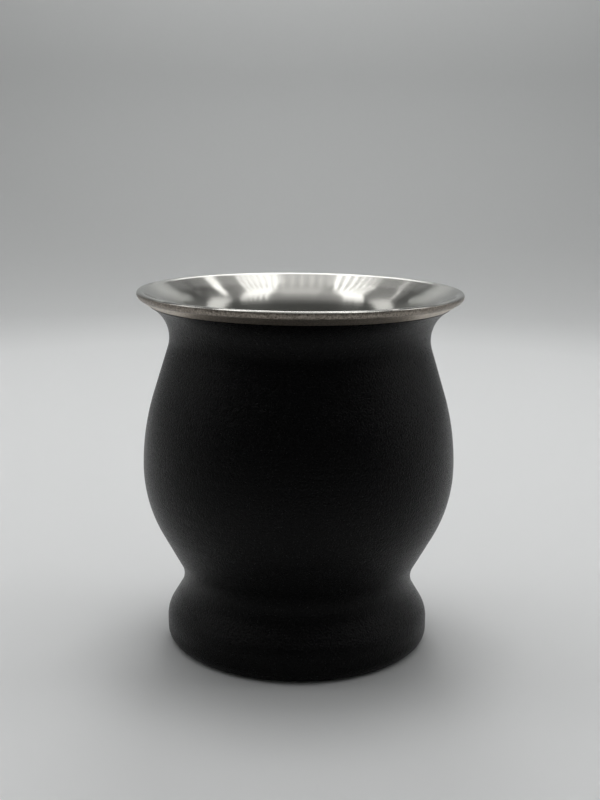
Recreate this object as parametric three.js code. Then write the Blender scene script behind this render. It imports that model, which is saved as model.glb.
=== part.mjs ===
// Double-walled stainless steel mate cup with a flared mouth, a round belly and a spreading foot.
// Millimetres, +Z up. The origin is the centre of the ring on which the cup stands.

import * as THREE from 'three';

// Outside of the steel shell, from the floor up. Each bend is a round whose widest or narrowest point
// lies one rise above, and one step out from or in from, the point of the bend below it.
const FOOT_RADIUS = 33.8;          // upright side of the foot, its widest part
const FOOT_CORNER_ROUND = 3.4;     // round between that side and the stand ring
const FOOT_RISE = 6.1;             // floor to the upper end of that side
const FOOT_SHOULDER_ROUND = 6.5;   // round above it
const WAIST_INSET = 4.3;           // waist, in from the foot
const WAIST_RISE = 11.1;           // waist, above the foot's upright side
const WAIST_ROUND = 7.8;
const BELLY_STEP = 10.2;           // belly, out from the waist
const BELLY_RISE = 29.6;           // belly, above the waist
const BELLY_LOWER_ROUND = 35.3;
const BELLY_UPPER_ROUND = 62.4;
const NECK_INSET = 6.8;            // neck, in from the belly
const NECK_RISE = 32.8;            // neck, above the belly
const NECK_ROUND = 9.4;
const LIP_STEP = 8.1;              // edge of the lip, out from the neck
const LIP_RISE = 11.2;             // edge of the lip, above the neck
const LIP_ROUND = 1.6;             // round of the lip's outer edge
const CREST_INNER_ROUND = 2.5;     // round from the lip's crest into the mouth
const LEAST_CREST_ROUND = 0.2;     // round that the crest keeps outside, however thin the lip is

// Steel walls and the flat ring the cup stands on
const WALL = 0.5;                  // sheet of the shell and of the liner
const NECK_GAP = 1.0;              // clear space between the two walls from the neck to the lip
const STAND_RING_WIDTH = 2.4;      // flat ring under the foot

// Bowl of the liner
const FLOOR_ABOVE_WAIST = 4.6;     // inside floor of the bowl, above the waist
const FLOOR_WAIST_CLEARANCE = 11;  // edge of the flat floor, in from the waist of the shell

// Black powder coat on the shell
const COAT = 0.12;                 // thickness of the coat
const BARE_BAND = 3.0;             // bare steel from the lip's seam to the coat, along the flare
const BARE_STAND = 1.2;            // bare steel from the stand ring to the coat, along the foot's corner

// Bottom plate, which closes the space between the walls
const PLATE_SHEET = 0.5;
const FLANGE_CLEARANCE = 0.3;      // edge of its flange, in from the foot's corner
const PLATE_ROOF = 6.0;            // underside of the raised middle, above the floor
const PLATE_BEND = 1.0;            // inner round between the skirt and the raised middle
const DIMPLE_FLAT_RADIUS = 3.2;    // flat end of the dimple round the pumping port
const DIMPLE_TAPER = 1.8;          // mouth of the dimple, out from its flat end
const DIMPLE_DEPTH = 1.8;
const PORT_RADIUS = 1.0;
const SEAL_DEPTH = 1.2;            // glass in the dimple, measured from its flat end
const SEAL_SAG = 0.25;             // how far the glass hollows in the middle

// Cover disc pressed into the recess under the bottom plate
const COVER_SHEET = 0.4;
const COVER_RECESS = 1.0;          // cover, above the floor
const COVER_RIM = 2.6;             // height of its turned-up rim
const COVER_RIM_ROUND = 1.0;
const COVER_FIT = 0.1;             // gap between the rim and the skirt of the bottom plate

// Getter tablet and the strap that holds it down on the bottom plate
const TABLET_RADIUS = 4.0;
const TABLET_HEIGHT = 2.4;
const STRAP_SHEET = 0.3;
const STRAP_WIDTH = 5.0;
const STRAP_FOOT = 2.5;            // length of each foot of the strap
const STRAP_CLEARANCE = 0.15;      // gap between the tablet and the strap

// Fineness of the solids
const SEGMENTS = 36;               // facets round the cup
const TABLET_SEGMENTS = 24;
const CHORD_DEPTH = 0.12;          // how far a facet may cut into a round
const WIDEST_STEP = Math.PI / 6;   // widest angle between two points of a small round

// Sizes that follow from the ones above
const lipThickness = 2 * WALL + NECK_GAP;
const lipRound = Math.min(LIP_ROUND, lipThickness - LEAST_CREST_ROUND);
const standOuter = FOOT_RADIUS - FOOT_CORNER_ROUND;
const standInner = standOuter - STAND_RING_WIDTH;
const dimpleRadius = DIMPLE_FLAT_RADIUS + DIMPLE_TAPER;
const dimpleTop = PLATE_ROOF + DIMPLE_DEPTH;
const dimpleSlope = Math.atan2(DIMPLE_DEPTH, DIMPLE_TAPER);

// The bends of the outside. turn is 1 where the round's centre lies inside and -1 where it lies outside.
const foot = {
  radius: FOOT_RADIUS,
  height: FOOT_RISE,
  turn: 1,
  roundAbove: FOOT_SHOULDER_ROUND,
};
const waist = {
  radius: foot.radius - WAIST_INSET,
  height: foot.height + WAIST_RISE,
  turn: -1,
  roundBelow: WAIST_ROUND,
  roundAbove: WAIST_ROUND,
};
const belly = {
  radius: waist.radius + BELLY_STEP,
  height: waist.height + BELLY_RISE,
  turn: 1,
  roundBelow: BELLY_LOWER_ROUND,
  roundAbove: BELLY_UPPER_ROUND,
};
const neck = {
  radius: belly.radius - NECK_INSET,
  height: belly.height + NECK_RISE,
  turn: -1,
  roundBelow: NECK_ROUND,
  roundAbove: NECK_ROUND,
};
const lip = {
  radius: neck.radius + LIP_STEP,
  height: neck.height + LIP_RISE,
  turn: 1,
  roundBelow: lipRound,
};

// Points of a round with their outward normals. The angle counts from the outward radius towards +Z.
function arc(centreRadius, centreHeight, round, from, to, turn) {
  const chordStep = 2 * Math.acos(1 - Math.min(1, CHORD_DEPTH / round));
  const steps = Math.max(1, Math.ceil(Math.abs(to - from) / Math.min(chordStep, WIDEST_STEP)));
  return Array.from({ length: steps + 1 }, (_, i) => {
    const angle = from + (to - from) * i / steps;
    const across = Math.cos(angle);
    const up = Math.sin(angle);
    return {
      r: centreRadius + round * across,
      z: centreHeight + round * up,
      nr: turn * across,
      nz: turn * up,
    };
  });
}

// The upper half of one bend and the lower half of the next, joined by the straight line that touches
// both rounds. Where the two rounds are too large to fit between the bends, the larger one gives way.
function joinBends(lower, upper) {
  const step = Math.abs(upper.radius - lower.radius);
  const rise = upper.height - lower.height;
  const room = (step * step + rise * rise) / (2 * step);
  const excess = Math.max(0, lower.roundAbove + upper.roundBelow - room);
  const lowerGivesWay = lower.roundAbove > upper.roundBelow;
  const lowerRound = lower.roundAbove - (lowerGivesWay ? excess : 0);
  const upperRound = upper.roundBelow - (lowerGivesWay ? 0 : excess);
  const lowerCentre = lower.radius - lower.turn * lowerRound;
  const upperCentre = upper.radius - upper.turn * upperRound;
  const towardsUpper = Math.atan2(rise, upperCentre - lowerCentre);
  const apart = Math.hypot(rise, upperCentre - lowerCentre);
  const lean = Math.acos(Math.min(1, (lowerRound + upperRound) / apart));
  const touch = towardsUpper - lower.turn * lean;
  const start = lower.turn > 0 ? 0 : Math.PI;
  const end = upper.turn > 0 ? 0 : Math.PI;
  return {
    leaving: arc(lowerCentre, lower.height, lowerRound, start, touch, lower.turn),
    arriving: arc(upperCentre, upper.height, upperRound, touch + lower.turn * Math.PI, end, upper.turn),
  };
}

// Neighbouring rounds share an end point, which is kept once
function withoutRepeats(points) {
  const same = (a, b) => Math.hypot(a.r - b.r, a.z - b.z) < 1e-6;
  return points.filter((p, i) => i === 0 || !same(p, points[i - 1]));
}

// The stretch of an outline that is left when some length is cut from its start and from its end
function trim(points, fromStart, fromEnd) {
  const lengths = [0];
  for (let i = 1; i < points.length; i++) {
    const run = Math.hypot(points[i].r - points[i - 1].r, points[i].z - points[i - 1].z);
    lengths.push(lengths[i - 1] + run);
  }
  const last = lengths[points.length - 1] - fromEnd;
  const at = (length) => {
    const i = lengths.findIndex((l, k) => k > 0 && l >= length);
    const share = (length - lengths[i - 1]) / (lengths[i] - lengths[i - 1]);
    const between = (key) => points[i - 1][key] + share * (points[i][key] - points[i - 1][key]);
    const size = Math.hypot(between('nr'), between('nz'));
    return { r: between('r'), z: between('z'), nr: between('nr') / size, nz: between('nz') / size };
  };
  const kept = points.filter((_, i) => lengths[i] > fromStart && lengths[i] < last);
  return [at(fromStart), ...kept, at(last)];
}

// A point of an outline: distance from the axis and height
function point(r, z) {
  return new THREE.Vector2(r, z);
}

// Points moved along their normals
function offset(points, distance) {
  return points.map((p) => point(p.r + distance * p.nr, p.z + distance * p.nz));
}

// A body of revolution about +Z, whose outline runs up the outer face and down the inner one
function turned(outline) {
  return new THREE.LatheGeometry(outline, SEGMENTS).rotateX(Math.PI / 2);
}

// A turned ring, whose outline closes on itself
function turnedRing(outline) {
  return turned([...outline, outline[0].clone()]);
}

// Outer face of the shell, from the stand ring to the seam where it meets the liner under the lip
const footCorner = arc(standOuter, FOOT_CORNER_ROUND, FOOT_CORNER_ROUND, -Math.PI / 2, 0, 1);
const sides = [joinBends(foot, waist), joinBends(waist, belly), joinBends(belly, neck)];
const flare = joinBends(neck, lip);
const seam = flare.arriving[0];
const roundedFace = withoutRepeats([
  ...footCorner,
  ...sides.flatMap((side) => [...side.leaving, ...side.arriving]),
  ...flare.leaving,
  seam,
]);

function outerShell() {
  const standEdge = { r: standInner, z: 0, nr: 0, nz: -1 };
  const face = [standEdge, ...roundedFace];
  return turnedRing([...offset(face, 0), ...offset(face, -WALL).reverse()]);
}

function powderCoat() {
  const covered = trim(roundedFace, BARE_STAND, BARE_BAND);
  return turnedRing([...offset(covered, COAT), ...offset(covered, 0).reverse()]);
}

// The liner's mouth runs alongside the shell's flare and ends in the solid lip. Two rounds make the crest:
// a small one from the lip's edge to the top, and a wide one that touches the inner face of the mouth.
function innerLiner() {
  const bore = neck.radius - lipThickness;
  const floor = waist.height + FLOOR_ABOVE_WAIST;
  const floorEdge = waist.radius - FLOOR_WAIST_CLEARANCE;
  const cornerRound = bore - floorEdge;
  const corner = arc(floorEdge, floor + cornerRound, cornerRound, -Math.PI / 2, 0, 1);
  const mouth = [...flare.leaving, seam];
  const mouthNormal = Math.atan2(-seam.nz, -seam.nr);
  const spare = lipThickness - lipRound * (1 - seam.nr);
  const roomInside = (spare - LEAST_CREST_ROUND * (seam.nr - seam.nz)) / (1 + seam.nz);
  const innerRound = Math.min(CREST_INNER_ROUND, roomInside);
  const outerRound = (spare - innerRound * (1 + seam.nz)) / (seam.nr - seam.nz);
  const crestRadius = lip.radius - outerRound;
  const crestTop = lip.height + outerRound;
  const outerCrest = arc(crestRadius, lip.height, outerRound, 0, Math.PI / 2, 1);
  const innerCrest = arc(crestRadius, crestTop - innerRound, innerRound, Math.PI / 2, mouthNormal, 1);
  return turned([
    point(0, floor - WALL),
    ...offset(corner, WALL),
    ...offset(mouth, WALL - lipThickness),
    ...offset([seam], -WALL),
    ...offset(flare.arriving, 0),
    ...offset(outerCrest.slice(1), 0),
    ...offset(innerCrest.slice(1), 0),
    ...offset(flare.leaving, -lipThickness).reverse(),
    ...offset(corner, 0).reverse(),
    point(0, floor),
  ]);
}

// A pressed dish: its flange lies on the stand ring, and its raised middle has a dimple with the port
function bottomPlate() {
  const bend = arc(standInner - PLATE_BEND, PLATE_ROOF - PLATE_BEND, PLATE_BEND, Math.PI / 2, 0, 1);
  const flangeEdge = standOuter - FLANGE_CLEARANCE;
  const cornerShift = PLATE_SHEET * Math.tan(dimpleSlope / 2);
  return turnedRing([
    point(PORT_RADIUS, dimpleTop),
    point(DIMPLE_FLAT_RADIUS, dimpleTop),
    point(dimpleRadius, PLATE_ROOF),
    ...offset(bend, 0),
    point(standInner, WALL),
    point(flangeEdge, WALL),
    point(flangeEdge, WALL + PLATE_SHEET),
    point(standInner + PLATE_SHEET, WALL + PLATE_SHEET),
    ...offset(bend, PLATE_SHEET).reverse(),
    point(dimpleRadius + cornerShift, PLATE_ROOF + PLATE_SHEET),
    point(DIMPLE_FLAT_RADIUS + cornerShift, dimpleTop + PLATE_SHEET),
    point(PORT_RADIUS, dimpleTop + PLATE_SHEET),
  ]);
}

// The glass fills the end of the dimple and the port. Its free face is hollow, and follows a parabola
// closely enough with one ring of points halfway out.
function portSeal() {
  const edgeRadius = DIMPLE_FLAT_RADIUS + SEAL_DEPTH / Math.tan(dimpleSlope);
  const edgeHeight = dimpleTop - SEAL_DEPTH;
  const halfway = 0.5;
  return turned([
    point(0, edgeHeight + SEAL_SAG),
    point(edgeRadius * halfway, edgeHeight + SEAL_SAG * (1 - halfway * halfway)),
    point(edgeRadius, edgeHeight),
    point(DIMPLE_FLAT_RADIUS, dimpleTop),
    point(PORT_RADIUS, dimpleTop),
    point(PORT_RADIUS, dimpleTop + PLATE_SHEET),
    point(0, dimpleTop + PLATE_SHEET),
  ]);
}

// A shallow pan with its rim turned up inside the skirt of the bottom plate
function bottomCover() {
  const radius = standInner - COVER_FIT;
  const roundCentre = radius - COVER_RIM_ROUND;
  const corner = arc(roundCentre, COVER_RECESS + COVER_RIM_ROUND, COVER_RIM_ROUND, -Math.PI / 2, 0, 1);
  return turned([
    point(0, COVER_RECESS),
    ...offset(corner, 0),
    point(radius, COVER_RECESS + COVER_RIM),
    point(radius - COVER_SHEET, COVER_RECESS + COVER_RIM),
    ...offset(corner, -COVER_SHEET).reverse(),
    point(0, COVER_RECESS + COVER_SHEET),
  ]);
}

function getterTablet() {
  const tablet = new THREE.CylinderGeometry(TABLET_RADIUS, TABLET_RADIUS, TABLET_HEIGHT, TABLET_SEGMENTS);
  return tablet.rotateX(Math.PI / 2).translate(0, 0, TABLET_HEIGHT / 2);
}

// A strap that lies along Y and is bent up over the tablet from two flat feet
function getterClip() {
  const inside = TABLET_RADIUS + STRAP_CLEARANCE;
  const under = TABLET_HEIGHT + STRAP_CLEARANCE;
  const outside = inside + STRAP_SHEET;
  const over = under + STRAP_SHEET;
  const end = outside + STRAP_FOOT;
  const half = [
    [inside, under], [inside, 0], [end, 0], [end, STRAP_SHEET], [outside, STRAP_SHEET], [outside, over],
  ];
  const right = half.map(([along, up]) => point(along, up));
  const left = half.map(([along, up]) => point(-along, up)).reverse();
  const outline = new THREE.Shape([...right, ...left]);
  const strap = new THREE.ExtrudeGeometry(outline, { depth: STRAP_WIDTH, bevelEnabled: false });
  return strap.translate(0, 0, -STRAP_WIDTH / 2).rotateX(Math.PI / 2).rotateZ(Math.PI / 2);
}

// Finishes
function steel(color, roughness) {
  return new THREE.MeshStandardMaterial({ color, roughness, metalness: 1 });
}

const black = new THREE.MeshStandardMaterial({ color: 0x161718, roughness: 0.6, metalness: 0 });
const glass = new THREE.MeshStandardMaterial({ color: 0x4a4d48, roughness: 0.2, metalness: 0 });
const sintered = new THREE.MeshStandardMaterial({ color: 0x6d6b68, roughness: 0.85, metalness: 0.6 });

function piece(name, geometry, material) {
  const mesh = new THREE.Mesh(geometry, material);
  mesh.name = name;
  return mesh;
}

const cup = new THREE.Group();
cup.add(
  piece('inner_liner', innerLiner(), steel(0xc9c9c6, 0.2)),
  piece('outer_shell', outerShell(), steel(0xb4b1ab, 0.36)),
  piece('powder_coat', powderCoat(), black),
  piece('bottom_plate', bottomPlate(), steel(0xa9a8a4, 0.45)),
  piece('port_seal', portSeal(), glass),
  piece('bottom_cover', bottomCover(), steel(0xbdbcb8, 0.34)),
);

// The getter stands on the bottom plate, halfway between the dimple and the skirt
const getter = new THREE.Group();
getter.position.x = (dimpleRadius + standInner - PLATE_BEND) / 2;
getter.position.z = PLATE_ROOF + PLATE_SHEET;
getter.add(
  piece('getter_tablet', getterTablet(), sintered),
  piece('getter_clip', getterClip(), steel(0xa6a5a1, 0.5)),
);
cup.add(getter);

export default cup;
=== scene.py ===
"""Looks of a double-walled stainless steel mate cup: black powder coat outside, bare polished mouth."""
import math

import bpy
import numpy as np
from mathutils import Matrix, Vector


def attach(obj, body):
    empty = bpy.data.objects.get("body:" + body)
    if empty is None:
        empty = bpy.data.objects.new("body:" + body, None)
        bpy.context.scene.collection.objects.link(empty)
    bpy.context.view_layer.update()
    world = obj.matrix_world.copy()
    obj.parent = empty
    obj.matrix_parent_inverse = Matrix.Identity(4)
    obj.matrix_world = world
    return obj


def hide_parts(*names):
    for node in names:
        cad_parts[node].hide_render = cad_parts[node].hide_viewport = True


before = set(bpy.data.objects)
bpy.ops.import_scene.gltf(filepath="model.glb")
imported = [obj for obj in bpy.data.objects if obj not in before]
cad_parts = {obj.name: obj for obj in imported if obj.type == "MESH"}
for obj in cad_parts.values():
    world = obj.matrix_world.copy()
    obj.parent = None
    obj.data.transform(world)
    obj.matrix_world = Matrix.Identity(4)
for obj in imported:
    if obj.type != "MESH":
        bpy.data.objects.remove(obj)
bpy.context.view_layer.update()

MM = 0.001
QUARTER = math.pi / 2

# Outside of the steel shell in millimetres, as in the part's source: each bend is a round whose widest
# or narrowest point lies one rise above the point of the bend below it.
FOOT_RADIUS = 33.8
FOOT_CORNER_ROUND = 3.4
FOOT_RISE = 6.1
FOOT_SHOULDER_ROUND = 6.5
WAIST_INSET = 4.3
WAIST_RISE = 11.1
WAIST_ROUND = 7.8
BELLY_STEP = 10.2
BELLY_RISE = 29.6
BELLY_LOWER_ROUND = 35.3
BELLY_UPPER_ROUND = 62.4
NECK_INSET = 6.8
NECK_RISE = 32.8
NECK_ROUND = 9.4
LIP_STEP = 8.1
LIP_RISE = 11.19            # a hair under the solid, so that the crest stays inside it
LIP_ROUND = 1.6
CREST_INNER_ROUND = 2.5
WALL = 0.5
NECK_GAP = 1.0
STAND_RING_WIDTH = 2.4
FLOOR_ABOVE_WAIST = 4.6
FLOOR_WAIST_CLEARANCE = 11
COAT = 0.12
BARE_BAND = 3.0
BARE_STAND = 1.2

# Pieces under the bowl, in millimetres
PLATE_SHEET = 0.5
FLANGE_CLEARANCE = 0.3
PLATE_ROOF = 6.0
PLATE_BEND = 1.0
DIMPLE_FLAT_RADIUS = 3.2
DIMPLE_TAPER = 1.8
DIMPLE_DEPTH = 1.8
PORT_RADIUS = 1.0
SEAL_DEPTH = 1.2
SEAL_SAG = 0.25
COVER_SHEET = 0.4
COVER_RECESS = 1.0
COVER_RIM = 2.6
COVER_RIM_ROUND = 1.0
COVER_FIT = 0.1
TABLET_RADIUS = 4.0
TABLET_HEIGHT = 2.4
TABLET_EDGE_ROUND = 0.3
STRAP_SHEET = 0.3
STRAP_WIDTH = 5.0
STRAP_FOOT = 2.5
STRAP_CLEARANCE = 0.15
STRAP_TOP_BEND = 0.12       # inside of the bends over the tablet, small enough to pass its edge
STRAP_FOOT_BEND = 0.6       # outside of the bends at the feet

# Fineness of the surfaces
AROUND = 208                # steps round the axis
STEP = 0.75                 # millimetres between points of an outline
LEAST_STEPS = 8             # steps of a small round
SAME_POINT = 1e-6           # millimetres under which two points of an outline are one
CROWDED = 0.05              # share of STEP under which a point is left out
BLASTED_CREST_ROWS = 2      # rows of the crest that are blasted with the lip's edge
SHARP_EDGE = math.radians(38)

lip_thickness = 2 * WALL + NECK_GAP
stand_outer = FOOT_RADIUS - FOOT_CORNER_ROUND
stand_inner = stand_outer - STAND_RING_WIDTH
dimple_radius = DIMPLE_FLAT_RADIUS + DIMPLE_TAPER
dimple_top = PLATE_ROOF + DIMPLE_DEPTH
dimple_slope = math.atan2(DIMPLE_DEPTH, DIMPLE_TAPER)
getter_place = (dimple_radius + stand_inner - PLATE_BEND) / 2
getter_base = PLATE_ROOF + PLATE_SHEET


def bend(centre, height, round_, start, end, turn=1):
    """Round in the outline's plane: centre + round (cos a, sin a) for a from start to end. Its columns are
    the distance from the axis, the height and the outward normal, which points away from the centre, or to
    it where turn is -1."""
    steps = max(LEAST_STEPS, math.ceil(abs(end - start) * round_ / STEP))
    angle = np.linspace(start, end, steps + 1)
    across, up = np.cos(angle), np.sin(angle)
    return np.stack([centre + round_ * across, height + round_ * up, turn * across, turn * up], 1)


def join(low, high):
    """Two halves of neighbouring bends, (radius, height, round, turn) each, up to the points where the
    straight line between them touches both rounds. The larger round gives way where both don't fit."""
    step, rise = abs(high[0] - low[0]), high[1] - low[1]
    rounds = [low[2], high[2]]
    excess = max(0, sum(rounds) - (step * step + rise * rise) / (2 * step))
    larger = int(rounds[1] >= rounds[0])
    rounds[larger] -= excess
    low_centre = low[0] - low[3] * rounds[0]
    high_centre = high[0] - high[3] * rounds[1]
    apart = math.hypot(rise, high_centre - low_centre)
    lean = math.acos(min(1, sum(rounds) / apart))
    touch = math.atan2(rise, high_centre - low_centre) - low[3] * lean
    start, end = (0 if bend_[3] > 0 else math.pi for bend_ in (low, high))
    leaving = bend(low_centre, low[1], rounds[0], start, touch, low[3])
    arriving = bend(high_centre, high[1], rounds[1], touch + low[3] * math.pi, end, high[3])
    return leaving, arriving


def lengths(points):
    """Length of an outline from its start up to each of its points."""
    return np.r_[0, np.cumsum(np.hypot(*np.diff(points[:, :2], axis=0).T))]


def sampled(points, at):
    """The outline's columns at given lengths from its start."""
    return np.stack([np.interp(at, lengths(points), column) for column in points.T], 1)


def filled(points):
    """The outline with a point added every STEP along it, so that no stretch is longer."""
    run = np.hypot(*np.diff(points[:, :2], axis=0).T)
    points = points[np.r_[True, run > SAME_POINT]]
    along = lengths(points)
    at = np.unique(np.r_[along, np.arange(STEP, along[-1], STEP)])
    crowded = np.diff(at, prepend=-1) < CROWDED * STEP
    return sampled(points, np.unique(np.r_[at[~crowded], along[-1]]))


def trimmed(points, from_start, from_end):
    """What is left of an outline when a length is cut from its start and its end."""
    along = lengths(points)
    ends = [from_start, along[-1] - from_end]
    return sampled(points, np.r_[ends[0], along[(along > ends[0]) & (along < ends[1])], ends[1]])


def offset(points, distance):
    """Outline points moved along their normals."""
    return points[:, :2] + distance * points[:, 2:]


def moved(points, distance):
    """The same with the normals kept as columns."""
    return np.c_[offset(points, distance), points[:, 2:]]


def turned(name, outline, ring=False, second=None, centre=0):
    """Surface of revolution: the point (s, a) is (r(s) cos a, r(s) sin a, z(s)) with the outline's r and z.
    A ring's outline closes on itself, any other starts and ends on the axis, where it closes in a point.
    The attribute along holds the length of the outline up to s, in metres. second gives the rows of faces
    that take the second finish, from the first to the one after the last, and centre is the axis's X."""
    outline = np.asarray(outline, float)
    along = lengths(outline)
    angle = np.arange(AROUND) * 2 * math.pi / AROUND
    body = outline if ring else outline[1:-1]
    radius, height = body[:, :1], body[:, 1:]
    grid = np.stack([centre + radius * np.cos(angle), radius * np.sin(angle), height + 0 * angle], -1)
    points = grid.reshape(-1, 3)
    held = np.repeat(along if ring else along[1:-1], AROUND)
    row = np.arange(len(body)).reshape(-1, 1) * AROUND
    here, there = np.arange(AROUND), np.roll(np.arange(AROUND), -1)
    up = np.roll(row, -1, 0) if ring else row + AROUND
    rows = slice(None) if ring else slice(-1)
    quads = np.stack([row + here, row + there, up + there, up + here], -1)[rows].reshape(-1, 4)
    faces = quads.tolist()
    if not ring:
        low, high = len(points), len(points) + 1
        points = np.vstack([points, [centre, 0, outline[0, 1]], [centre, 0, outline[-1, 1]]])
        held = np.r_[held, along[0], along[-1]]
        last = row[-1, 0]
        faces += np.stack([there, here, low + 0 * here], -1).tolist()
        faces += np.stack([last + here, last + there, high + 0 * here], -1).tolist()
    made = finished(name, points * MM, faces)
    made.data.attributes.new("along", "FLOAT", "POINT").data.foreach_set("value", held * MM)
    if second:
        which = np.zeros(len(faces), np.int32)
        which[second[0] * AROUND:second[1] * AROUND] = 1
        made.data.polygons.foreach_set("material_index", which)
    return made


def finished(name, points, faces):
    """A mesh with smooth faces and its sharp edges kept, as an object at the origin."""
    mesh = bpy.data.meshes.new(name)
    mesh.from_pydata(points.tolist(), [], faces)
    mesh.polygons.foreach_set("use_smooth", np.ones(len(mesh.polygons), bool))
    mesh.set_sharp_from_angle(angle=SHARP_EDGE)
    made = bpy.data.objects.new(name, mesh)
    bpy.context.scene.collection.objects.link(made)
    return made


# Outline of the shell's outer face, from the stand ring to the seam under the lip
foot = (FOOT_RADIUS, FOOT_RISE)
waist = (foot[0] - WAIST_INSET, foot[1] + WAIST_RISE)
belly = (waist[0] + BELLY_STEP, waist[1] + BELLY_RISE)
neck = (belly[0] - NECK_INSET, belly[1] + NECK_RISE)
lip = (neck[0] + LIP_STEP, neck[1] + LIP_RISE)
flare, lip_edge = join((*neck, NECK_ROUND, -1), (*lip, LIP_ROUND, 1))
seam = lip_edge[:1]
shell_face = filled(np.vstack([
    bend(stand_outer, FOOT_CORNER_ROUND, FOOT_CORNER_ROUND, -QUARTER, 0),
    *join((*foot, FOOT_SHOULDER_ROUND, 1), (*waist, WAIST_ROUND, -1)),
    *join((*waist, WAIST_ROUND, -1), (*belly, BELLY_LOWER_ROUND, 1)),
    *join((*belly, BELLY_UPPER_ROUND, 1), (*neck, NECK_ROUND, -1)),
    flare,
    seam,
]))


def outer_shell():
    """Drawn sheet: the outside outline and the same outline moved in by the wall."""
    face = np.vstack([[stand_inner, 0, 0, -1], shell_face])
    outline = np.vstack([offset(face, 0), offset(face, -WALL)[::-1]])
    return turned("outer_shell_skin", outline, ring=True)


def powder_coat():
    """Layer on the shell: the covered stretch of its outline, and the same moved out by the coat."""
    covered = trimmed(shell_face, BARE_STAND, BARE_BAND)
    outline = np.vstack([offset(covered, COAT), offset(covered, 0)[::-1]])
    return turned("powder_coat_skin", outline, ring=True)


def inner_liner():
    """Bowl, mouth and lip: the flare moved in by the lip's thickness. A small round from the lip's edge to
    the top and a wide one that touches the inside of the mouth make the crest."""
    floor = waist[1] + FLOOR_ABOVE_WAIST
    floor_edge = waist[0] - FLOOR_WAIST_CLEARANCE
    corner_round = neck[0] - lip_thickness - floor_edge
    corner = bend(floor_edge, floor + corner_round, corner_round, -QUARTER, 0)
    out, down = seam[0, 2:]
    outer_round = (lip_thickness - LIP_ROUND * (1 - out) - CREST_INNER_ROUND * (1 + down)) / (out - down)
    crest_radius, crest_top = lip[0] - outer_round, lip[1] + outer_round
    outer_crest = bend(crest_radius, lip[1], outer_round, 0, QUARTER)
    inner_crest = bend(crest_radius, crest_top - CREST_INNER_ROUND, CREST_INNER_ROUND,
                       QUARTER, math.atan2(-down, -out))
    inside = filled(np.vstack([inner_crest, moved(flare, -lip_thickness)[::-1], corner[::-1]]))
    mouth = np.vstack([flare, seam])
    hidden = filled(np.vstack([moved(corner, WALL), moved(mouth, WALL - lip_thickness)]))
    edge = np.vstack([offset(lip_edge, 0), offset(outer_crest, 0)[1:-1]])
    return turned("inner_liner_skin", np.vstack([
        [0, floor - WALL],
        offset(hidden, 0),
        offset(seam, -WALL),
        edge,
        offset(inside, 0),
        [0, floor],
    ]), second=(len(hidden), len(hidden) + len(lip_edge) + BLASTED_CREST_ROWS))


def bottom_cover():
    """Shallow pan with its rim turned up: the outside of the pan, and the same moved in by the sheet."""
    radius = stand_inner - COVER_FIT
    corner = bend(radius - COVER_RIM_ROUND, COVER_RECESS + COVER_RIM_ROUND, COVER_RIM_ROUND, -QUARTER, 0)
    flat = np.arange(STEP, corner[0, 0], STEP)
    return turned("bottom_cover_skin", np.vstack([
        [0, COVER_RECESS],
        np.c_[flat, 0 * flat + COVER_RECESS],
        offset(corner, 0),
        [radius, COVER_RECESS + COVER_RIM],
        [radius - COVER_SHEET, COVER_RECESS + COVER_RIM],
        offset(corner, -COVER_SHEET)[::-1],
        [0, COVER_RECESS + COVER_SHEET],
    ]))


def bottom_plate():
    """Pressed dish: along the underside from the port over the dimple, the raised middle and the skirt to
    the flange, and back along the upper side, one sheet above."""
    skirt_bend = bend(stand_inner - PLATE_BEND, PLATE_ROOF - PLATE_BEND, PLATE_BEND, QUARTER, 0)
    flange_edge = stand_outer - FLANGE_CLEARANCE
    shift = PLATE_SHEET * math.tan(dimple_slope / 2)
    return turned("bottom_plate_skin", np.vstack([
        [[PORT_RADIUS, dimple_top], [DIMPLE_FLAT_RADIUS, dimple_top], [dimple_radius, PLATE_ROOF]],
        offset(skirt_bend, 0),
        [[stand_inner, WALL], [flange_edge, WALL], [flange_edge, WALL + PLATE_SHEET]],
        [[stand_inner + PLATE_SHEET, WALL + PLATE_SHEET]],
        offset(skirt_bend, PLATE_SHEET)[::-1],
        [[dimple_radius + shift, getter_base], [DIMPLE_FLAT_RADIUS + shift, dimple_top + PLATE_SHEET]],
        [[PORT_RADIUS, dimple_top + PLATE_SHEET]],
    ]), ring=True)


def port_seal():
    """Glass in the dimple and the port: its free face sags as a parabola of the distance from the axis."""
    share = np.linspace(0, 1, LEAST_STEPS + 1)
    radius = share * (DIMPLE_FLAT_RADIUS + SEAL_DEPTH / math.tan(dimple_slope))
    sagged = dimple_top - SEAL_DEPTH + SEAL_SAG * (1 - share * share)
    return turned("port_seal_skin", np.vstack([
        np.c_[radius, sagged],
        [[DIMPLE_FLAT_RADIUS, dimple_top], [PORT_RADIUS, dimple_top]],
        [[PORT_RADIUS, dimple_top + PLATE_SHEET], [0, dimple_top + PLATE_SHEET]],
    ]))


def getter_tablet():
    """Pressed tablet: a cylinder with rounded edges."""
    reach = TABLET_RADIUS - TABLET_EDGE_ROUND
    low, top = getter_base, getter_base + TABLET_HEIGHT
    return turned("getter_tablet_skin", np.vstack([
        [0, low],
        offset(bend(reach, low + TABLET_EDGE_ROUND, TABLET_EDGE_ROUND, -QUARTER, 0), 0),
        offset(bend(reach, top - TABLET_EDGE_ROUND, TABLET_EDGE_ROUND, 0, QUARTER), 0),
        [0, top],
    ]), centre=getter_place)


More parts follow.
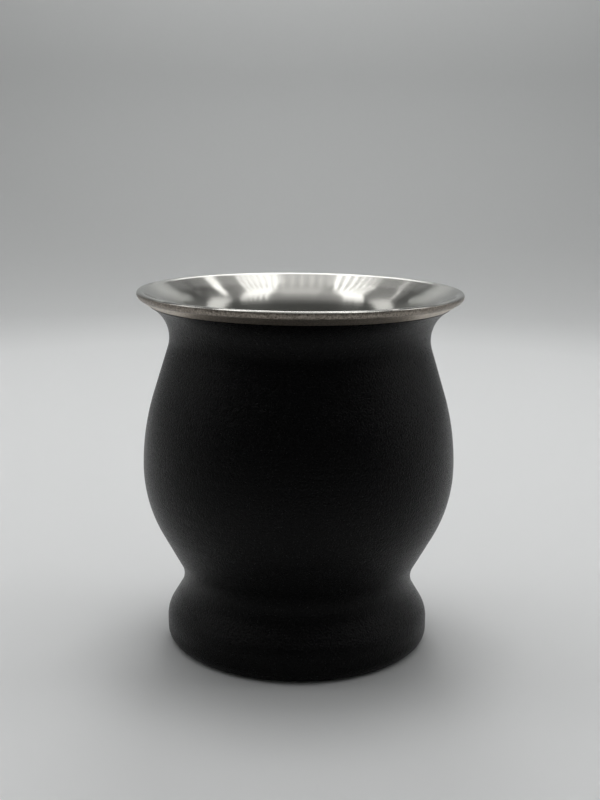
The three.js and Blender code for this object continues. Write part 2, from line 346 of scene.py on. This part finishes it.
def getter_clip():
    """Strip of sheet swept along Y: its lower face follows a foot, the bend up, the upright, the bend over
    and the flat over the tablet, then the same mirrored. Its upper face lies one sheet along the normals
    from there."""
    inside = TABLET_RADIUS + STRAP_CLEARANCE
    under = TABLET_HEIGHT + STRAP_CLEARANCE
    half = np.vstack([
        [inside + STRAP_SHEET + STRAP_FOOT, 0, 0, 1],
        bend(inside + STRAP_FOOT_BEND, STRAP_FOOT_BEND, STRAP_FOOT_BEND, -QUARTER, -math.pi, -1),
        bend(inside - STRAP_TOP_BEND, under - STRAP_TOP_BEND, STRAP_TOP_BEND, 0, QUARTER),
    ])
    path = np.vstack([half, (half * [-1, 1, -1, 1])[::-1]])
    side = STRAP_WIDTH / 2
    corners = [(-side, 0), (side, 0), (side, STRAP_SHEET), (-side, STRAP_SHEET)]
    rows = [np.c_[np.full(len(path), getter_place + x), offset(path, lift)] for x, lift in corners]
    points = np.stack(rows, 1).reshape(-1, 3) + [0, 0, getter_base]
    count = len(corners)
    row = np.arange(len(path) - 1).reshape(-1, 1) * count
    up = row + count
    here, there = np.arange(count), np.roll(np.arange(count), -1)
    quads = np.stack([row + here, row + there, up + there, up + here], -1).reshape(-1, count)
    ends = [here[::-1].tolist(), (up[-1] + here).tolist()]
    return finished("getter_clip_skin", points * MM, [*quads.tolist(), *ends])


def linear(colour):
    """sRGB hex colour to linear red, green, blue and alpha."""
    shares = np.array([int(colour[i:i + 2], 16) for i in (1, 3, 5)]) / 255
    return [*np.where(shares <= 0.04045, shares / 12.92, ((shares + 0.055) / 1.055) ** 2.4), 1.0]


def add(tree, kind, sockets=None, links=None, **settings):
    """Adds a node of a kind: settings are its own choices, sockets the values of its inputs, and links the
    outputs that feed its inputs."""
    made = tree.nodes.new("ShaderNode" + kind)
    for key, value in settings.items():
        setattr(made, key, value)
    for key, value in (sockets or {}).items():
        made.inputs[key].default_value = value
    for key, source in (links or {}).items():
        tree.links.new(source, made.inputs[key])
    return made


def material(name):
    """An empty material, its node tree and the object coordinates in it."""
    made = bpy.data.materials.new(name)
    made.use_nodes = True
    made.node_tree.nodes.clear()
    return made, made.node_tree, add(made.node_tree, "TexCoord").outputs["Object"]


COLOUR_A, COLOUR_B, MIXED = 6, 7, 2     # colour sockets of a Mix node


def surface(tree, colours, factor, sockets, links):
    """Ends a material: its colour lies between two, by a factor, and goes into the shader with the rest."""
    tone = add(tree, "Mix", {COLOUR_A: linear(colours[0]), COLOUR_B: linear(colours[1])},
               {"Factor": factor}, data_type="RGBA")
    shader = add(tree, "BsdfPrincipled", sockets, {"Base Color": tone.outputs[MIXED], **links})
    add(tree, "OutputMaterial", links={"Surface": shader.outputs["BSDF"]})


def black_powder_coat():
    """Baked polyester powder, sprayed and cured: black, low sheen, a fine sandy grain of melted powder over
    faint rings left in the steel by spinning. Real grains are about 0.1 mm across, too fine to show, so
    they are drawn four times as coarse."""
    grain_size, grain_depth = 0.42 * MM, 0.21 * MM
    ring_width, ring_depth = 1.6 * MM, 0.08 * MM
    cloud_size = 9 * MM
    made, tree, place = material("black_polyester_powder_coat")
    grain = add(tree, "TexNoise", {"Scale": 1 / grain_size, "Detail": 2.0, "Roughness": 0.6},
                {"Vector": place})
    cloud = add(tree, "TexNoise", {"Scale": 1 / cloud_size, "Detail": 3.0}, {"Vector": place})
    rough = add(tree, "MapRange", {"To Min": 0.22, "To Max": 0.34}, {"Value": grain.outputs["Fac"]})
    along = add(tree, "Attribute", attribute_name="along").outputs["Fac"]
    rings = add(tree, "TexNoise", {"Scale": 1 / ring_width, "Detail": 2.0}, {"W": along},
                noise_dimensions="1D")
    ringed = add(tree, "Bump", {"Strength": 0.7, "Distance": ring_depth}, {"Height": rings.outputs["Fac"]})
    grained = add(tree, "Bump", {"Strength": 1.0, "Distance": grain_depth},
                  {"Height": grain.outputs["Fac"], "Normal": ringed.outputs["Normal"]})
    surface(tree, ("#010101", "#040405"), cloud.outputs["Fac"], {"IOR": 1.5, "Specular IOR Level": 0.11},
            {"Roughness": rough.outputs["Result"], "Normal": grained.outputs["Normal"]})
    return made


def turned_steel(name, colours, roughness, line, depth, anisotropy=0.0, grit=0.0):
    """Stainless steel finished on a lathe: rings round the axis, line wide and depth deep in millimetres,
    stretch its reflections across them. grit is the depth of a blasted grain over the rings. Real lines and
    grains are under 0.1 mm across, too fine to show, so they are drawn 0.2 to 0.5 mm across."""
    grit_size, cloud_size = 0.4 * MM, 12 * MM
    made, tree, place = material(name)
    parts = add(tree, "SeparateXYZ", links={"Vector": place})
    level = add(tree, "VectorMath", {1: (1, 1, 0)}, {0: place}, operation="MULTIPLY")
    radius = add(tree, "VectorMath", links={0: level.outputs["Vector"]}, operation="LENGTH")
    across = add(tree, "Math", links={0: radius.outputs["Value"], 1: parts.outputs["Z"]}, operation="ADD")
    rings = add(tree, "TexNoise", {"Scale": 1 / (line * MM), "Detail": 3.0, "Roughness": 0.6},
                {"W": across.outputs["Value"]}, noise_dimensions="1D")
    rough = add(tree, "MapRange", {"To Min": roughness[0], "To Max": roughness[1]},
                {"Value": rings.outputs["Fac"]})
    bumped = add(tree, "Bump", {"Strength": 1.0, "Distance": depth * MM}, {"Height": rings.outputs["Fac"]})
    if grit:
        sand = add(tree, "TexNoise", {"Scale": 1 / grit_size, "Detail": 2.0}, {"Vector": place})
        bumped = add(tree, "Bump", {"Strength": 1.0, "Distance": grit * MM},
                     {"Height": sand.outputs["Fac"], "Normal": bumped.outputs["Normal"]})
        grains = add(tree, "MapRange", {"From Min": 0.3, "From Max": 0.7}, {"Value": sand.outputs["Fac"]})
        shade = grains.outputs["Result"]
    else:
        cloud = add(tree, "TexNoise", {"Scale": 1 / cloud_size, "Detail": 3.0}, {"Vector": place})
        shade = cloud.outputs["Fac"]
    tangent = add(tree, "Tangent", direction_type="RADIAL", axis="Z")
    surface(tree, colours, shade,
            {"Metallic": 1.0, "Anisotropic": anisotropy, "Anisotropic Rotation": 0.25},
            {"Roughness": rough.outputs["Result"], "Normal": bumped.outputs["Normal"],
             "Tangent": tangent.outputs["Tangent"]})
    return made


def solder_glass():
    """Glass frit melted into the port: dark grey-green and glossy, with a few drowned bubbles."""
    cloud_size, bubble_size, bubble_depth = 1.5 * MM, 0.8 * MM, 0.05 * MM
    made, tree, place = material("solder_glass")
    cloud = add(tree, "TexNoise", {"Scale": 1 / cloud_size, "Detail": 3.0}, {"Vector": place})
    bubbles = add(tree, "TexVoronoi", {"Scale": 1 / bubble_size}, {"Vector": place}, feature="SMOOTH_F1")
    bumped = add(tree, "Bump", {"Strength": 0.4, "Distance": bubble_depth},
                 {"Height": bubbles.outputs["Distance"]})
    rough = add(tree, "MapRange", {"To Min": 0.1, "To Max": 0.22}, {"Value": cloud.outputs["Fac"]})
    surface(tree, ("#4a4d48", "#3c403b"), cloud.outputs["Fac"], {"IOR": 1.7},
            {"Roughness": rough.outputs["Result"], "Normal": bumped.outputs["Normal"]})
    return made


def sintered_powder():
    """Pressed and sintered metal powder: dull grey, open grains a third of a millimetre across."""
    grain_size, grain_depth = 0.35 * MM, 0.1 * MM
    made, tree, place = material("sintered_getter_powder")
    grains = add(tree, "TexVoronoi", {"Scale": 1 / grain_size}, {"Vector": place})
    bumped = add(tree, "Bump", {"Strength": 0.8, "Distance": grain_depth},
                 {"Height": grains.outputs["Distance"]})
    rough = add(tree, "MapRange", {"To Min": 0.75, "To Max": 0.95}, {"Value": grains.outputs["Distance"]})
    surface(tree, ("#75736f", "#5f5d5a"), grains.outputs["Distance"], {"Metallic": 0.6},
            {"Roughness": rough.outputs["Result"], "Normal": bumped.outputs["Normal"]})
    return made


def stamped_strip():
    """Cold-rolled stainless strip: fine straight rolling lines along its length, Y."""
    line_width, line_depth, line_stretch = 0.15 * MM, 0.01 * MM, 0.03
    made, tree, place = material("cold_rolled_steel_strip")
    drawn = add(tree, "VectorMath", {1: (1, line_stretch, 1)}, {0: place}, operation="MULTIPLY")
    lines = add(tree, "TexNoise", {"Scale": 1 / line_width, "Detail": 3.0},
                {"Vector": drawn.outputs["Vector"]})
    bumped = add(tree, "Bump", {"Strength": 0.6, "Distance": line_depth}, {"Height": lines.outputs["Fac"]})
    rough = add(tree, "MapRange", {"To Min": 0.38, "To Max": 0.55}, {"Value": lines.outputs["Fac"]})
    surface(tree, ("#a8a7a3", "#989793"), lines.outputs["Fac"], {"Metallic": 1.0},
            {"Roughness": rough.outputs["Result"], "Normal": bumped.outputs["Normal"]})
    return made


def dress(piece, node, slot, *finishes):
    """A piece stands for its CAD node, rides on the cup and gets its finishes."""
    for finish in finishes:
        piece.data.materials.append(finish)
    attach(piece, "root")
    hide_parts(node)


# Bright inside, soft grainy lip edge, warm satin band, disc with a spun sheen, and dull hidden sheet
polished = turned_steel("polished_304_steel", ("#b8b7b2", "#b0afaa"), roughness=(0.15, 0.19),
                        line=0.25, depth=0.0005, anisotropy=1.0)
blasted = turned_steel("blasted_304_steel", ("#aba298", "#625b53"), roughness=(0.32, 0.42),
                       line=0.3, depth=0.002, grit=0.15)
satin = turned_steel("satin_304_steel", ("#cfc3b5", "#94897c"), roughness=(0.32, 0.42),
                     line=0.3, depth=0.002, grit=0.03)
brushed = turned_steel("circular_brushed_304_steel", ("#c2c1bd", "#b3b2ae"), roughness=(0.24, 0.4),
                       line=0.2, depth=0.004, anisotropy=0.6)
pressed = turned_steel("pressed_304_steel", ("#aaa9a5", "#989793"), roughness=(0.39, 0.51),
                       line=0.5, depth=0.002)

dress(inner_liner(), "inner_liner", "liner_steel", polished, blasted)
dress(outer_shell(), "outer_shell", "shell_steel", satin)
dress(powder_coat(), "powder_coat", "black_coat", black_powder_coat())
dress(bottom_cover(), "bottom_cover", "cover_steel", brushed)
dress(bottom_plate(), "bottom_plate", "plate_steel", pressed)
dress(port_seal(), "port_seal", "solder_glass", solder_glass())
dress(getter_tablet(), "getter_tablet", "getter", sintered_powder())
dress(getter_clip(), "getter_clip", "clip_steel", stamped_strip())

# Stage in metres: a pale paper floor that climbs into a wall all round the cup
FLOOR_LEVEL = -0.05 * MM    # a hair under the stand ring, which would lie in the same plane
FLOOR_FLAT = 0.6            # flat floor round the cup
COVE_ROUND = 0.18
WALL_TOP = 0.75
PAPER_AROUND = 240          # steps of the paper round the axis, along its floor and round its cove
PAPER_FLAT_STEPS = 15
PAPER_COVE_STEPS = 24
PAINTED_POOL_MIDDLE = (0, 0.2, 0)        # painted pool of light: the paper is palest just behind the cup
PAINTED_POOL_REACH = 0.3            # the painted light stays pale as far as this from there
PAINTED_SHADE_REACH = 1.0            # and the painted shade is darkest from this far on
FIBRE = 2 * MM
FIBRE_DRIFT = 0.02          # how far the fibres shift the grading of the painted light


def paper_sweep():
    """Floor and wall: the point (s, a) is (r(s) cos a, r(s) sin a, z(s)), where r and z run from the middle
    along the flat floor, round the cove and up the wall."""
    angle = np.arange(PAPER_AROUND) * 2 * math.pi / PAPER_AROUND
    flat = np.linspace(0, FLOOR_FLAT, PAPER_FLAT_STEPS + 1)[1:]
    swing = np.linspace(0, QUARTER, PAPER_COVE_STEPS + 1)[1:]
    radius = np.r_[flat, FLOOR_FLAT + COVE_ROUND * np.sin(swing), FLOOR_FLAT + COVE_ROUND]
    height = np.r_[0 * flat, COVE_ROUND * (1 - np.cos(swing)), WALL_TOP] + FLOOR_LEVEL
    grid = np.stack([np.outer(radius, np.cos(angle)), np.outer(radius, np.sin(angle)),
                     np.outer(height, np.ones(PAPER_AROUND))], -1)
    here, there = np.arange(PAPER_AROUND), np.roll(np.arange(PAPER_AROUND), -1)
    row = np.arange(len(height) - 1).reshape(-1, 1) * PAPER_AROUND
    up = row + PAPER_AROUND
    quads = np.stack([row + here, up + here, up + there, row + there], -1).reshape(-1, 4)
    middle = np.stack([here, there, np.full(PAPER_AROUND, grid.size // 3)], -1)
    points = np.vstack([grid.reshape(-1, 3), [0, 0, FLOOR_LEVEL]])
    return finished("paper_sweep", points, [*quads.tolist(), *middle.tolist()])


def matt_paper_with_painted_light():
    """Graduated background paper, matt, with painted light: a painted pool of light leaves it near white
    just behind the cup, and painted shade makes it greyer away from there, with a faint fibre cloud."""
    made, tree, place = material("matt_paper_painted_light_pool")
    level = add(tree, "VectorMath", {1: (1, 1, 0)}, {0: place}, operation="MULTIPLY")
    away = add(tree, "VectorMath", {1: PAINTED_POOL_MIDDLE}, {0: level.outputs["Vector"]}, operation="DISTANCE")
    fibre = add(tree, "TexNoise", {"Scale": 1 / FIBRE, "Detail": 3.0}, {"Vector": place})
    drift = add(tree, "Math", {1: FIBRE_DRIFT}, {0: fibre.outputs["Fac"], 2: away.outputs["Value"]},
                operation="MULTIPLY_ADD")
    # painted light and shade: the colour goes from near white to grey with the distance from the painted
    # pool's middle
    painted_falloff = add(tree, "MapRange", {"From Min": PAINTED_POOL_REACH, "From Max": PAINTED_SHADE_REACH},
                {"Value": drift.outputs["Value"]})
    # near white of the painted pool of light, and grey of the painted shade away from it
    surface(tree, ("#e1e2e2", "#777978"), painted_falloff.outputs["Result"],
            {"Roughness": 0.9, "Specular IOR Level": 0.2}, {})
    return made


sweep = paper_sweep()
sweep.data.materials.append(matt_paper_with_painted_light())


def lamp(name, place, aim, size, power, spread=150):
    """Soft lamp at a place in metres, turned towards the point aim. Its beam is spread degrees wide."""
    light = bpy.data.lights.new(name, "AREA")
    light.shape = "RECTANGLE"
    light.spread = math.radians(spread)
    light.size, light.size_y = size
    light.energy = power
    made = bpy.data.objects.new(name, light)
    bpy.context.scene.collection.objects.link(made)
    made.location = place
    facing = (Vector(aim) - Vector(place)).to_track_quat("-Z", "Y")
    made.rotation_euler = facing.to_euler()
    return made


def sheet(name, edges, height, power, lights_floor=True):
    """Lamp overhead that shines down, by its left, right, front and back edge and its height. Its power is
    in watts per square metre. Without lights_floor it is only mirrored."""
    left, right, front, back = edges
    middle = (left + right) / 2, (front + back) / 2
    size = right - left, back - front
    made = lamp(name, (*middle, height), (*middle, 0), size, power * size[0] * size[1])
    made.visible_diffuse = lights_floor


def tube(back, front, width, power, lights_floor=True):
    """Straight lamp overhead that shines down, from one point of the ceiling to another."""
    run = np.subtract(front, back)
    middle = np.add(front, back) / 2
    made = lamp("tube", (*middle, TUBES_UP), (*middle, 0), (width, math.hypot(*run)), power)
    made.rotation_euler = (0, 0, math.atan2(-run[0], run[1]))
    made.visible_diffuse = lights_floor


def fan(back, front, count, width, power, lights_floor=True):
    """Row of tubes between its first and its last one, given by their back ends and their front ends."""
    for share in np.linspace(0, 1, count):
        ends = (np.array(first) * (1 - share) + np.array(last) * share for first, last in (back, front))
        tube(*ends, width, power, lights_floor)


# Soft studio light in metres and watts: sheets overhead, a window behind, a lamp on the wall, panels at
# both sides, a lamp for the floor, and rows of thin tubes overhead that fan out towards the front, where
# the mouth mirrors them as upright streaks. Most lamps in front of the cup are only mirrored and don't
# light the floor, so that the cup's shadow falls forwards. Lamps that overlap hang at different heights.
CEILING_UP = 0.9
MIRRORED_UP = 0.85
SHEETS_UP = 0.84
TUBES_UP = 0.83
CEILING_SIDE, CEILING_FRONT, CEILING_BACK = 1.0, -0.3, 1.1
DIM_LEFT, DIM_FRONT, DIM_BACK = 0.36, 0.25, 0.6     # dim stretch of the ceiling at the right
CORNER_LEFT = 0.5
MIDDLE_SHEET_SIDE, MIDDLE_SHEET_BACK = 0.15, 0.38
FRONT_SHEET_SIDE, FRONT_SHEET_NEAR, FRONT_SHEET_FAR = 0.7, -0.95, -0.35
MIRRORED_LEFT, MIRRORED_RIGHT = -0.62, 0.5
MIRRORED_NEAR, MIRRORED_SPLIT, MIRRORED_FAR = -0.6, -0.4, -0.08
PANELS_OUT = 0.68
ROW = 7                                             # tubes in a row
NARROW, WIDE = 0.014, 0.03                          # tubes behind the cup and in front of it

sheet("ceiling_sheet", (-CEILING_SIDE, DIM_LEFT, CEILING_FRONT, CEILING_BACK), CEILING_UP, power=1.0)
sheet("right_sheet", (DIM_LEFT, CEILING_SIDE, CEILING_FRONT, DIM_FRONT), CEILING_UP, power=1.0)
sheet("corner_sheet", (CORNER_LEFT, CEILING_SIDE, DIM_BACK, CEILING_BACK), CEILING_UP, power=1.0)
sheet("dim_sheet", (DIM_LEFT, CEILING_SIDE, DIM_FRONT, DIM_BACK), CEILING_UP, power=0.45)
sheet("middle_sheet", (-MIDDLE_SHEET_SIDE, MIDDLE_SHEET_SIDE, FRONT_SHEET_FAR, MIDDLE_SHEET_BACK),
      SHEETS_UP, power=0.8)
sheet("front_sheet", (-FRONT_SHEET_SIDE, FRONT_SHEET_SIDE, FRONT_SHEET_NEAR, FRONT_SHEET_FAR),
      SHEETS_UP, power=0.75)
sheet("mirrored_sheet", (MIRRORED_LEFT, MIRRORED_RIGHT, MIRRORED_SPLIT, MIRRORED_FAR),
      MIRRORED_UP, power=0.9, lights_floor=False)
sheet("mirrored_front_sheet", (-FRONT_SHEET_SIDE, FRONT_SHEET_SIDE, MIRRORED_NEAR, MIRRORED_SPLIT),
      MIRRORED_UP, power=0.5, lights_floor=False)

lamp("back_window", (0, 0.7, 0.63), aim=(0, 0, 0.1), size=(0.24, 0.58), power=1.0)
lamp("wall_lamp", (0, 0.55, 0.6), aim=(0, 0.78, 0.4), size=(1.2, 0.06), power=0.88, spread=70)
for beside, high_power, low_power in ((-PANELS_OUT, 0.28, 0.16), (PANELS_OUT, 0.3, 0.25)):
    lamp("side_panel", (beside, 0.06, 0.52), aim=(0, 0.06, 0.1), size=(0.32, 0.34), power=high_power)
    lamp("low_panel", (beside, 0.18, 0.22), aim=(0, 0.18, 0.05), size=(0.5, 0.24), power=low_power)

# Ends of the first and the last tube of each row: behind the cup, over it and in front of it
right_back = (0.045, 0.44), (0.17, 0.44)
right_over = (0.14, 0), (0.34, 0)
right_front = (0.42, -0.46), (0.95, -0.4)
left_back = (-0.085, 0.44), (-0.26, 0.44)
left_over = (-0.2, 0), (-0.46, 0)
left_front = (-0.56, -0.4), (-0.93, -0.34)
middle_back = (-0.06, 0.44), (0.03, 0.44)
middle_over = (-0.16, 0), (0.1, 0)
fan(right_back, right_over, ROW, NARROW, power=0.04)
fan(right_over, right_front, ROW, WIDE, power=0.11, lights_floor=False)
fan(left_back, left_over, ROW, NARROW, power=0.054)
fan(left_over, left_front, ROW, WIDE, power=0.11, lights_floor=False)
fan(middle_back, middle_over, count=6, width=0.008, power=0.006)
tube((0.23, 0.6), (0.56, 0.12), width=0.06, power=0.24)
tube((-0.27, 0.72), (-0.8, 0.3), width=0.04, power=0.08)

key = lamp("key", (0, 0.12, 0.85), aim=(0, 0, 0), size=(0.25, 0.25), power=0.95)
key.visible_glossy = False      # lights the floor and isn't mirrored

ROOM_GREY = (0.02, 0.02, 0.02, 1)
world = bpy.data.worlds.new("room")
world.use_nodes = True
world.node_tree.nodes["Background"].inputs["Color"].default_value = ROOM_GREY
bpy.context.scene.world = world

# Camera where the photograph was taken, as fitted to the cup's outline in it: its place is in metres
FOCAL_PIXELS = 1250
FRAME_HEIGHT = 800
SENSOR = 36                 # millimetres along the picture's longer side
NEAREST, FARTHEST = 0.01, 20
CAMERA_PLACE = (0, -0.313487, 0.128958)
PITCH_DOWN = math.radians(11.8747)
PAN = 0.000599
ROLL = math.radians(0.638)
camera = bpy.data.cameras.new("camera")
camera.sensor_width = SENSOR
camera.lens = FOCAL_PIXELS * SENSOR / FRAME_HEIGHT
camera.clip_start, camera.clip_end = NEAREST, FARTHEST
seen_from = bpy.data.objects.new("camera", camera)
bpy.context.scene.collection.objects.link(seen_from)
aimed = Matrix.Rotation(-PAN, 4, "Z") @ Matrix.Rotation(QUARTER - PITCH_DOWN, 4, "X")
seen_from.matrix_world = Matrix.Translation(CAMERA_PLACE) @ aimed @ Matrix.Rotation(ROLL, 4, "Z")
bpy.context.scene.camera = seen_from
bpy.context.scene.view_settings.view_transform = "Standard"
